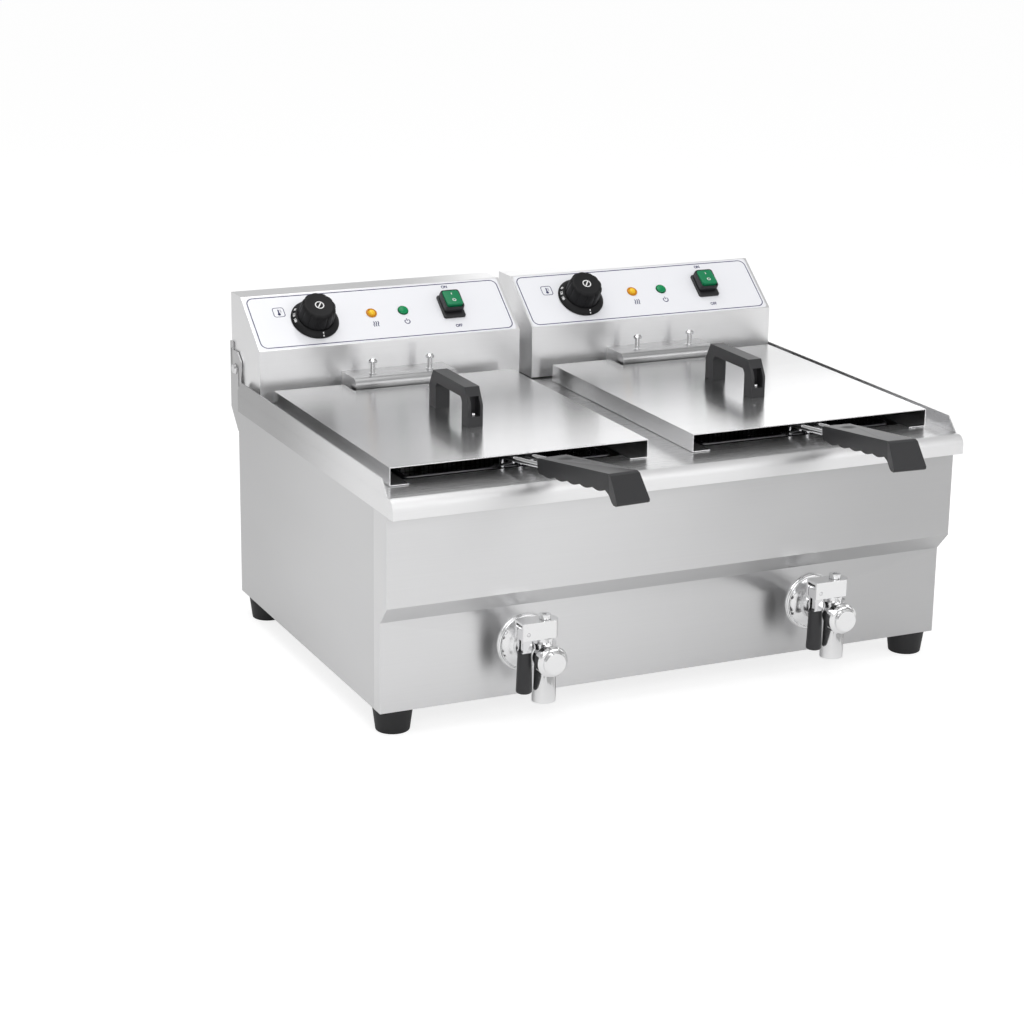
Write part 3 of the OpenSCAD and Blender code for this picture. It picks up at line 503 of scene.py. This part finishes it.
def panelSigns(name, side):
    words = signs["letterHeight"], signs["letterWide"]
    drawn = ((lettering("ON", *words), signs["on"]), (lettering("OFF", *words), signs["off"]),
             (waveSign(signs["size"]), signs["heat"]), (powerSign(signs["size"]), signs["power"]),
             (thermometerSign(thermometer["size"]), thermometer["at"]))
    points, faces = joined([(np.asarray(points) + (x, s, label["thick"] + signs["above"]), faces)
                            for (points, faces), (x, s) in drawn])
    piece = newPiece(name + "_panel_signs", onSlope(points, side), faces, turn=False)
    ridden(piece, name + "_head", finishes["labelInk"])


# the knob: rows of (radius, height, share of the lobes), and white marks on its dish and crown;
# angles in degrees round the knob, from the right
knob = {"at": (-86.7, 40.5), "lobes": 12, "lobeDepth": 1.3, "lobeRound": 0.7, "lobeSteps": 16,
        "rows": [(28.9, 0.3, 0), (29.3, 0.8, 0), (29.3, 1.4, 0), (28.9, 2.1, 0), (23.1, 6.8, 0),
                 (22.6, 6.8, 0), (22.0, 5.6, 0), (21.7, 5.6, 0), (21.9, 7.0, 0.4), (21.9, 9, 1),
                 (21.6, 14, 1), (21.2, 19, 1), (20.8, 23.4, 1), (20.2, 25.3, 0.9),
                 (19.2, 26.6, 0.7), (18.0, 27.4, 0.4), (16.8, 27.75, 0.1), (15.6, 27.6, 0),
                 (8.0, 27.3, 0), (0.0, 27.3, 0)],
        "dish": ((29.0, 2.0), (22.9, 6.9)), "dishAbove": 0.08,
        "numbers": ("60", "120", "180"), "firstNumber": 146, "numberStep": 19,
        "numberHeight": 3.0, "numberWide": 0.9,
        "dotsAt": 276, "dotsFrom": (-2.9, 0.6), "dotLength": 1.9, "dotWidth": 1.6,
        "markHeight": 27.4, "ring": (5.6, 4.3), "ringSteps": 40,
        "bar": ((-2.3, -3.2), (2.3, 3.2)), "barWidth": 1.5}


# crown of the knob: its radius is the mean radius and a rounded wave of one period a lobe,
# which fades out in the rim's bevel; the skirt below is a plain dish
def knobBody(name, side):
    steps = knob["lobes"] * knob["lobeSteps"]
    angle = np.linspace(0, 2 * math.pi, steps, endpoint=False)
    wave = np.abs(np.cos(angle * knob["lobes"] / 2)) ** knob["lobeRound"]
    points = []
    for radius, height, share in knob["rows"]:
        r = radius - share * knob["lobeDepth"] * (1 - wave)
        points.append(np.stack([r * np.cos(angle), r * np.sin(angle), np.full(steps, height)], 1))
    faces = [list(q) for q in gridFaces(len(points), steps)] + [list(range(steps))[::-1]]
    body = name + "_dial_knob"
    points = onSlope(np.concatenate(points), side, *knob["at"])
    piece = newPiece(name + "_knob_body", points, faces)
    ridden(piece, body, finishes["knobPlastic"], (name + "_knob",),
           sharpFrom=50)
    points, faces = joined(knobMarks())
    points = onSlope(points, side, *knob["at"])
    piece = newPiece(name + "_knob_marks", points, faces, turn=False)
    ridden(piece, body, finishes["whiteInk"])


# numbers and two dots on the skirt, a ring with a bar across it on the crown
def knobMarks():
    marks = []
    for i, number in enumerate(knob["numbers"]):
        points, faces = lettering(number, knob["numberHeight"], knob["numberWide"])
        marks.append((onDish(points, knob["firstNumber"] + i * knob["numberStep"]), faces))
    for low in knob["dotsFrom"]:
        points, _ = stripe([[0, low], [0, low + knob["dotLength"]]], knob["dotWidth"])
        marks.append((onDish(points, knob["dotsAt"]), [[0, 1, 3, 2]]))
    ring = [circle(radius, knob["ringSteps"]) for radius in knob["ring"]]
    return [*marks, bandOf(*ring, knob["markHeight"]),
            stripe(knob["bar"], knob["barWidth"], knob["markHeight"])]


# a flat mark laid on the dish of the skirt at an angle round the knob, its top to the crown
def onDish(points, turn):
    points = np.asarray(points, float)
    (outer, low), (inner, high) = knob["dish"]
    slope = math.atan2(high - low, outer - inner)
    outward = (outer + inner) / 2 - points[:, 1] * math.cos(slope)
    height = (low + high) / 2 + points[:, 1] * math.sin(slope) + knob["dishAbove"]
    a = math.radians(turn)
    x = outward * math.cos(a) - points[:, 0] * math.sin(a)
    y = outward * math.sin(a) + points[:, 0] * math.cos(a)
    return np.stack([x, y, height], 1)


# lamps: profiles of (radius, height), with the edge's finish up to row "cap" and the cap's after it
lamps = {"heat_lamp": {"at": (-13.6, 43.4), "edge": "amberLens", "capFinish": "amberCore", "cap": 6,
                       "profile": [(6.7, 0.2), (6.7, 1.1), (6.2, 1.7), (5.2, 1.9), (4.7, 1.2),
                                   (4.3, 1.2), (4.0, 2.0), (3.5, 2.9), (2.4, 3.6), (1.1, 3.9),
                                   (0, 3.95)]},
         "power_lamp": {"at": (27.2, 43.5), "edge": "greenEdge", "capFinish": "greenLens", "cap": 3,
                        "profile": [(6.7, 0.2), (6.7, 1.0), (6.5, 1.5), (6.1, 1.9), (5.2, 2.6),
                                    (3.8, 3.2), (1.9, 3.6), (0, 3.7)]}}
lampSteps = 48
capSlack = 1e-5    # metres that a cap's face may lie past the cap's edge


# a lamp turned from its profile; faces nearer its foot's middle than the cap's edge are the cap
def lamp(name, side, kind):
    spec = lamps[kind]
    points, faces = turned(spec["profile"], lampSteps)
    faces = [list(q) for q in faces] + [list(range(lampSteps))[::-1]]
    node = name + "_" + kind
    piece = newPiece(node + "_lens", onSlope(points, side, *spec["at"]), faces)
    ridden(piece, name + "_head", finishes[spec["edge"]], (node,), sharpFrom=50)
    piece.data.materials.append(finishes[spec["capFinish"]])
    middle = Vector(onSlope([(0, 0, 0)], side, *spec["at"])[0])
    radius, height = spec["profile"][spec["cap"]]
    reach = math.hypot(radius * mm + capSlack, height * mm)
    for face in piece.data.polygons:
        facing = face.normal.dot(Vector((0, -1, 1))) > 0
        if facing and (face.center - middle).length < reach:
            face.material_index = 1


# the switch: the sizes of its base, collar, mouth and rocker; the collar's rows are
# (which size, growth of it, corner, height), and the rocker's (inset, drop below its top)
switch = {"base": (28.4, 35.0), "collar": (24.6, 28.4), "mouth": (21.6, 26.2),
          "rocker": (20.8, 24.3), "baseAt": (90.0, 43.0), "collarUp": 3.0, "rockerAt": (90.0, 46.5),
          "rows": [("base", -6, 2.0, -21.9), ("base", -6, 2.0, 0.2), ("base", 0, 2.6, 0.2),
                   ("base", 0, 2.6, 2.2), ("base", -0.6, 2.4, 2.9), ("base", -1.8, 2.2, 3.2),
                   ("collar", -1.6, 3.0, 3.2), ("collar", -1.6, 3.0, 4.6), ("collar", 0, 3.8, 4.9),
                   ("collar", 0.6, 4.0, 6.6), ("collar", 0, 3.8, 11.7), ("collar", -0.6, 3.6, 12.4),
                   ("collar", -1.4, 3.4, 12.6), ("mouth", 0.3, 3.1, 12.5), ("mouth", 0, 3.0, 12.1),
                   ("mouth", 0, 3.0, 4.0)],
          "rockerRows": [(0.5, 7.5), (0.0, 6.8), (0.0, 0.9), (0.15, 0.45), (0.5, 0.12), (1.0, 0.0)],
          "cornerSteps": 8, "rockerCorner": 3.0, "rockerCornerFall": 0.8,
          "rockerHeight": 14.3, "rearFall": 0.10, "frontFall": 0.17,
          "strokeAt": 6.2, "strokeHalf": 1.5, "strokeWidth": 1.0, "ringAt": -4.6,
          "ring": (2.4, 1.5), "ringSteps": 32, "markAside": 0.3, "markAbove": 0.07}


# rounded outlines stacked from low to high, each (width, height, corner, shift up, height above)
def stacked(rows, steps):
    rings = []
    for width, height, corner, up, z in rows:
        rings.append(lifted(roundedOutline(width, height, corner, steps) + (0, up), z))
    n = len(rings[0])
    faces = [list(q) for q in gridFaces(len(rings), n)]
    faces += [list(range(n))[::-1], list(range((len(rings) - 1) * n, len(rings) * n))]
    return np.concatenate(rings), faces


# a base plate, a collar on it that stands further up the slope, and a mouth sunk into the collar
def switchBody(name, side):
    rows = []
    for part, growth, corner, height in switch["rows"]:
        width, length = switch[part]
        up = 0 if part == "base" else switch["collarUp"]
        rows.append((width + growth, length + growth, corner, up, height))
    points, faces = stacked(rows, switch["cornerSteps"])
    node = name + "_switch_body"
    points = onSlope(points, side, *switch["baseAt"])
    piece = newPiece(name + "_switch_collar", points, faces)
    ridden(piece, name + "_head", finishes["controlPlastic"], (node,), sharpFrom=40)


# height of the rocker's top: it falls up the slope, less steeply behind the middle line
def rockerTop(y):
    return switch["rockerHeight"] - y * np.where(y > 0, switch["rearFall"], switch["frontFall"])


# the rocker: a rounded block whose upper rows follow its bent top, with a point at each end of
# the bend's line so that the top is two flat faces
def rocker(name, side):
    w, h = switch["rocker"]
    rings, steps = [], switch["cornerSteps"]
    half = 2 * steps
    for inset, drop in switch["rockerRows"]:
        corner = switch["rockerCorner"] - inset * switch["rockerCornerFall"]
        outline = roundedOutline(w - 2 * inset, h - 2 * inset, corner, steps)
        outline = np.concatenate([outline[:half], [[inset - w / 2, 0]],
                                  outline[half:], [[w / 2 - inset, 0]]])
        rings.append(np.column_stack([outline, rockerTop(outline[:, 1]) - drop]))
    n = len(rings[0])
    last = (len(rings) - 1) * n
    faces = [list(q) for q in gridFaces(len(rings), n)] + [list(range(n))[::-1]]
    faces += [[last + i for i in range(half + 1)] + [last + n - 1],
              [last + i for i in range(half, n)]]
    node = name + "_switch_rocker"
    points = onSlope(np.concatenate(rings), side, *switch["rockerAt"])
    piece = newPiece(name + "_rocker_cap", points, faces)
    ridden(piece, name + "_rocker", finishes["rockerGreen"], (node,), sharpFrom=30)


# a stroke and a ring, laid on the rocker's top
def rockerMarks(name, side):
    reach = switch["strokeHalf"]
    stroke = stripe([[0, -reach], [0, reach]], switch["strokeWidth"])
    ring = bandOf(*[circle(radius, switch["ringSteps"]) for radius in switch["ring"]], 0.0)
    parts = []
    for (points, faces), at in ((stroke, switch["strokeAt"]), (ring, switch["ringAt"])):
        x, y = points[:, 0] + switch["markAside"], at + points[:, 1]
        parts.append((np.stack([x, y, rockerTop(y) + switch["markAbove"]], 1), faces))
    points, faces = joined(parts)
    points = onSlope(points, side, *switch["rockerAt"])
    piece = newPiece(name + "_rocker_marks", points, faces, turn=False)
    ridden(piece, name + "_rocker", finishes["whiteInk"])


for name, side in sides.items():
    controlPanel(name, side)
    panelSigns(name, side)
    knobBody(name, side)
    switchBody(name, side)
    rocker(name, side)
    rockerMarks(name, side)
    for kind in lamps:
        lamp(name, side, kind)
print("control panels made")

# the basket: its box, the weave's pitch and wire radius, and the frame wires' radii
basket = {"width": 244.0, "front": 46.0, "rear": 314.0, "floor": 158.0, "rim": 271.5, "pitch": 6.1,
          "wire": 0.55, "inset": 1.0, "rimWire": 2.5, "floorWire": 1.8, "floorWireUp": 2.0,
          "postWire": 1.6, "corner": 5.0, "cornerSteps": 6, "wireSides": 10}


# one woven wire: it runs along u, and from crossing to crossing it swings to either side by its
# radius; it has four sides
def wovenWire(length, cells, radius, phase):
    u = np.linspace(0, length, cells + 1)
    swing = radius * np.cos(np.arange(cells + 1) * math.pi + phase)
    corner = np.array([0.25, 0.75, 1.25, 1.75]) * math.pi
    across, out = radius * np.cos(corner), radius * np.sin(corner)
    points = np.stack([np.repeat(u[:, None], 4, 1), np.repeat(across[None], cells + 1, 0),
                       swing[:, None] + out[None]], -1)
    return points.reshape(-1, 3), gridFaces(cells + 1, 4)


# a woven sheet of a by b: wires along both ways, each next one swinging the other way
def wovenSheet(a, b):
    na, nb = round(a / basket["pitch"]), round(b / basket["pitch"])
    parts = []
    for count, cells, length, other, swap in ((nb, na, a, b, 0), (na, nb, b, a, 1)):
        for i in range(count + 1):
            points, faces = wovenWire(length, cells, basket["wire"], (i + swap) * math.pi)
            points = points + (0, other * i / count, 0)
            parts.append((points[:, [1, 0, 2]] if swap else points, faces))
    return joined(parts)


# five woven sheets for the floor and walls, and a frame of round wires along their edges
def basketMesh(name, side):
    inset, rim = basket["inset"], basket["rim"]
    w = basket["width"] - 2 * inset
    l = basket["rear"] - basket["front"] - 2 * inset
    x0, y0, z0 = -w / 2, basket["front"] + inset, basket["floor"] + inset
    floor, front, end = wovenSheet(w, l), wovenSheet(w, rim - z0), wovenSheet(l, rim - z0)
    parts = [(floor[0] + (x0, y0, z0), floor[1])]
    for y in (y0, y0 + l):
        parts.append((front[0][:, [0, 2, 1]] + (x0, y, z0), front[1]))
    for x in (x0, x0 + w):
        parts.append((end[0][:, [2, 0, 1]] + (x, y0, z0), end[1]))
    points, faces = joined(parts)
    body = name + "_basket_unit"
    points = placed(points, side * fryer["tankX"])
    piece = newPiece(name + "_basket_mesh", points, faces, turn=False)
    node = name + "_basket"
    # the mesh's dark finish is painted shade
    ridden(piece, body, finishes["meshWireShaded"], (node,), sharpFrom=60)
    middle = (0, y0 + l / 2)
    corner, steps, sided = basket["corner"], basket["cornerSteps"], basket["wireSides"]
    rimLine = roundedOutline(w + inset, l + inset, corner, steps) + middle
    floorLine = roundedOutline(w, l, corner, steps) + middle
    low = basket["floor"] + basket["floorWireUp"]
    wires = [ringTube(rimLine, rim, basket["rimWire"], sided),
             ringTube(floorLine, low, basket["floorWire"], sided)]
    for x in (inset / 2 - w / 2, w / 2 - inset / 2):
        for y in (y0, y0 + l):
            wires.append(tube([[x, y, z0], [x, y, rim]], basket["postWire"], sided))
    points, faces = joined(wires)
    points = placed(points, side * fryer["tankX"])
    piece = newPiece(name + "_basket_frame", points, faces)
    # the frame's dark finish is painted shade
    ridden(piece, body, finishes["rimWire"], sharpFrom=60)


# a round tube along a line of points, with closed ends: circles square to the line's direction
def tube(line, radius, corners, steepFrom=0.9):
    line = np.asarray(line, float)
    along = np.gradient(line, axis=0)
    along /= np.linalg.norm(along, axis=1)[:, None]
    steep = np.abs(along[:, 2:3]) > steepFrom
    up = np.where(steep, np.array([[1.0, 0, 0]]), np.array([[0, 0, 1.0]]))
    side = np.cross(along, up)
    side /= np.linalg.norm(side, axis=1)[:, None]
    up = np.cross(side, along)
    angle = np.linspace(0, 2 * math.pi, corners, endpoint=False)[None, :, None]
    points = line[:, None] + radius * (side[:, None] * np.cos(angle) + up[:, None] * np.sin(angle))
    n = len(line)
    faces = [list(q) for q in gridFaces(n, corners)]
    faces += [list(range(corners)), list(range((n - 1) * corners, n * corners))[::-1]]
    return points.reshape(-1, 3), faces


# a round tube once round a flat closed outline at height z
def ringTube(outline, z, radius, corners):
    along = np.roll(outline, -1, 0) - np.roll(outline, 1, 0)
    along /= np.linalg.norm(along, axis=1)[:, None]
    out = np.stack([along[:, 1], -along[:, 0]], 1)
    angle = np.linspace(0, 2 * math.pi, corners, endpoint=False)
    flat = outline[:, None] + radius * np.cos(angle)[None, :, None] * out[:, None]
    height = np.repeat((z + radius * np.sin(angle))[None], len(outline), 0)
    points = np.concatenate([flat, height[..., None]], -1)
    return points.reshape(-1, 3), gridFaces(len(outline), corners, closeRows=True)


# the handle's wires: half their distance, where they turn (y) and how far ahead of that they
# stand, the handle's turn in degrees, from and to what height they drop, and the cross wire
handleWire = {"x": 11.3, "turnY": 46.0, "ahead": -4.6, "turn": 3.9, "high": 276.0, "low": 232.0,
              "radius": 3.0, "crossReach": 30.0, "crossUp": 2.0, "crossRadius": 2.4, "corners": 20}


# the handle's two wires run on down the basket's front, joined by a cross wire
def handleDrops(name, side):
    x, y, reach = handleWire["x"], handleWire["ahead"], handleWire["crossReach"]
    high, low, corners = handleWire["high"], handleWire["low"], handleWire["corners"]
    cross = low + handleWire["crossUp"]
    drops = [tube([(x, y, high), (x, y, (high + low) / 2), (x, y, low)], handleWire["radius"],
                  corners) for x in (-x, x)]
    points, faces = joined([*drops, tube([(-reach, y, cross), (0, y, cross), (reach, y, cross)],
                                         handleWire["crossRadius"], corners)])
    a = math.radians(-side * handleWire["turn"])
    x = points[:, 0] * math.cos(a) - points[:, 1] * math.sin(a)
    y = points[:, 0] * math.sin(a) + points[:, 1] * math.cos(a) + handleWire["turnY"]
    points = placed(np.stack([x, y, points[:, 2]], 1), side * fryer["tankX"])
    piece = newPiece(name + "_handle_drops", points, faces)
    ridden(piece, name + "_basket_unit", finishes["wire"], sharpFrom=60)


for name, side in sides.items():
    basketMesh(name, side)
    handleDrops(name, side)
print("baskets woven")

# the floor's tone and its own light, for what lies on it, for metal that mirrors it and as shown
studio = {"floorReach": 14.0, "bounced": (0.80, 0.0), "mirrored": (0.70, 0.22),
          "shown": (0.42, 0.77)}


def background():
    corners = np.array([[-1, -1, 0], [1, -1, 0], [1, 1, 0], [-1, 1, 0]]) * studio["floorReach"]
    floor = newPiece("studio_floor", corners, [[0, 1, 2, 3]], turn=False)
    finish = bpy.data.materials.new("studio floor")
    finish.use_nodes = True
    tree = finish.node_tree
    tree.nodes.clear()
    out = tree.nodes.new("ShaderNodeOutputMaterial")
    path = tree.nodes.new("ShaderNodeLightPath")
    shown = paper(tree, *studio["bounced"])
    for kind, ray in (("mirrored", "Is Glossy Ray"), ("shown", "Is Camera Ray"),
                      ("shown", "Is Transmission Ray")):
        pick = tree.nodes.new("ShaderNodeMixShader")
        tree.links.new(path.outputs[ray], pick.inputs[0])
        tree.links.new(shown, pick.inputs[1])
        tree.links.new(paper(tree, *studio[kind]), pick.inputs[2])
        shown = pick.outputs[0]
    tree.links.new(shown, out.inputs["Surface"])
    floor.data.materials.append(finish)


# white paper: matt, with some light of its own
def paper(tree, tone, glow):
    matt = tree.nodes.new("ShaderNodeBsdfDiffuse")
    matt.inputs["Color"].default_value = (tone, tone, tone, 1)
    light = tree.nodes.new("ShaderNodeEmission")
    light.inputs["Strength"].default_value = glow
    both = tree.nodes.new("ShaderNodeAddShader")
    tree.links.new(matt.outputs[0], both.inputs[0])
    tree.links.new(light.outputs[0], both.inputs[1])
    return both.outputs[0]


# a white room: (height, tone) from the horizon up, white at the horizon, grey higher up where the
# lamps hang, and dimmer around one direction, from and to how nearly a ray points there
horizon = {"tones": [(0.0, 1.0), (0.08, 0.96), (0.19, 0.66), (0.40, 0.36), (0.72, 0.42),
                     (1.0, 0.80)],
           "dimmed": (0.80, -0.60, 0.0), "dimmedFrom": 0.55, "dimmedFull": 0.98, "dimmedTo": 0.42}


def room():
    world = bpy.data.worlds.new("studio room")
    bpy.context.scene.world = world
    world.use_nodes = True
    tree = world.node_tree
    tree.nodes.clear()
    out = tree.nodes.new("ShaderNodeOutputWorld")
    place = tree.nodes.new("ShaderNodeTexCoord")
    split = tree.nodes.new("ShaderNodeSeparateXYZ")
    ramp = tree.nodes.new("ShaderNodeValToRGB")
    ramp.color_ramp.interpolation = "EASE"
    while len(ramp.color_ramp.elements) < len(horizon["tones"]):
        ramp.color_ramp.elements.new(0.5)
    for element, (at, tone) in zip(ramp.color_ramp.elements, horizon["tones"]):
        element.position, element.color = at, (tone, tone, tone, 1)
    facing = tree.nodes.new("ShaderNodeVectorMath")
    facing.operation = "DOT_PRODUCT"
    facing.inputs[1].default_value = horizon["dimmed"]
    dim = tree.nodes.new("ShaderNodeMapRange")
    dim.interpolation_type = "SMOOTHSTEP"
    dim.inputs["From Min"].default_value = horizon["dimmedFrom"]
    dim.inputs["From Max"].default_value = horizon["dimmedFull"]
    dim.inputs["To Min"].default_value = 1.0
    dim.inputs["To Max"].default_value = horizon["dimmedTo"]
    dimmed = tree.nodes.new("ShaderNodeVectorMath")
    dimmed.operation = "SCALE"
    path = tree.nodes.new("ShaderNodeLightPath")
    pick = tree.nodes.new("ShaderNodeMix")
    pick.data_type = "RGBA"
    pick.inputs["B"].default_value = (1, 1, 1, 1)
    shade = tree.nodes.new("ShaderNodeBackground")
    tree.links.new(place.outputs["Generated"], split.inputs[0])
    tree.links.new(split.outputs["Z"], ramp.inputs["Fac"])
    tree.links.new(place.outputs["Generated"], facing.inputs[0])
    tree.links.new(facing.outputs["Value"], dim.inputs["Value"])
    tree.links.new(ramp.outputs["Color"], dimmed.inputs[0])
    tree.links.new(dim.outputs["Result"], dimmed.inputs["Scale"])
    tree.links.new(path.outputs["Is Camera Ray"], pick.inputs["Factor"])
    tree.links.new(dimmed.outputs["Vector"], pick.inputs["A"])
    tree.links.new(pick.outputs["Result"], shade.inputs["Color"])
    tree.links.new(shade.outputs[0], out.inputs["Surface"])


softboxes = [
    {"name": "top box", "at": (-0.3, 0.1, 2.2), "to": (0, 0.0, 0.25), "size": (1.8, 1.4),
     "watts": 15},
    {"name": "front box", "at": (-1.2, -2.4, 1.7), "to": (0, 0, 0.2), "size": (1.6, 1.2),
     "watts": 16},
    {"name": "front right box", "at": (1.0, -2.2, 1.45), "to": (0, 0.2, 0.35), "size": (1.7, 0.9),
     "watts": 10},
    {"name": "right box", "at": (2.3, -0.9, 1.3), "to": (0, 0, 0.2), "size": (1.0, 1.4),
     "watts": 5},
    {"name": "rear box", "at": (2.05, 2.5, 1.1), "to": (0.1, 0, 0.3), "size": (2.2, 1.1),
     "watts": 8.5},
]


def lights():
    for box in softboxes:
        light = bpy.data.lights.new(box["name"], "AREA")
        light.shape, light.energy = "RECTANGLE", box["watts"]
        light.size, light.size_y = box["size"]
        holder = bpy.data.objects.new(box["name"], light)
        bpy.context.scene.collection.objects.link(holder)
        holder.location = box["at"]
        holder.visible_camera = False
        aim = Vector(box["to"]) - Vector(box["at"])
        holder.rotation_euler = aim.to_track_quat("-Z", "Y").to_euler()


# the camera: its place in millimetres from the lower front panel, its turns in radians, and its
# focal length in pixels of the frame
view = {"at": (-1278.27, -2328.34, 1002.47), "yaw": 0.434598, "pitch": 0.290518,
        "roll": 0.0129046, "focal": 2513.63, "frame": 1024.0, "sensor": 36.0,
        "nearest": 0.05, "farthest": 60.0}


def camera():
    optics = bpy.data.cameras.new("camera")
    optics.sensor_width = view["sensor"]
    optics.lens = view["focal"] * view["sensor"] / view["frame"]
    optics.clip_start, optics.clip_end = view["nearest"], view["farthest"]
    holder = bpy.data.objects.new("camera", optics)
    bpy.context.scene.collection.objects.link(holder)
    holder.location = placed([view["at"]])[0]
    look = Euler((math.pi / 2 - view["pitch"], 0, -view["yaw"]), "XYZ").to_matrix()
    roll = Matrix.Rotation(view["roll"], 3, "Z")
    holder.rotation_euler = (look @ roll).to_euler()
    bpy.context.scene.camera = holder


background()
room()
lights()
camera()
bpy.context.scene.view_settings.view_transform = "Standard"
print("studio set")
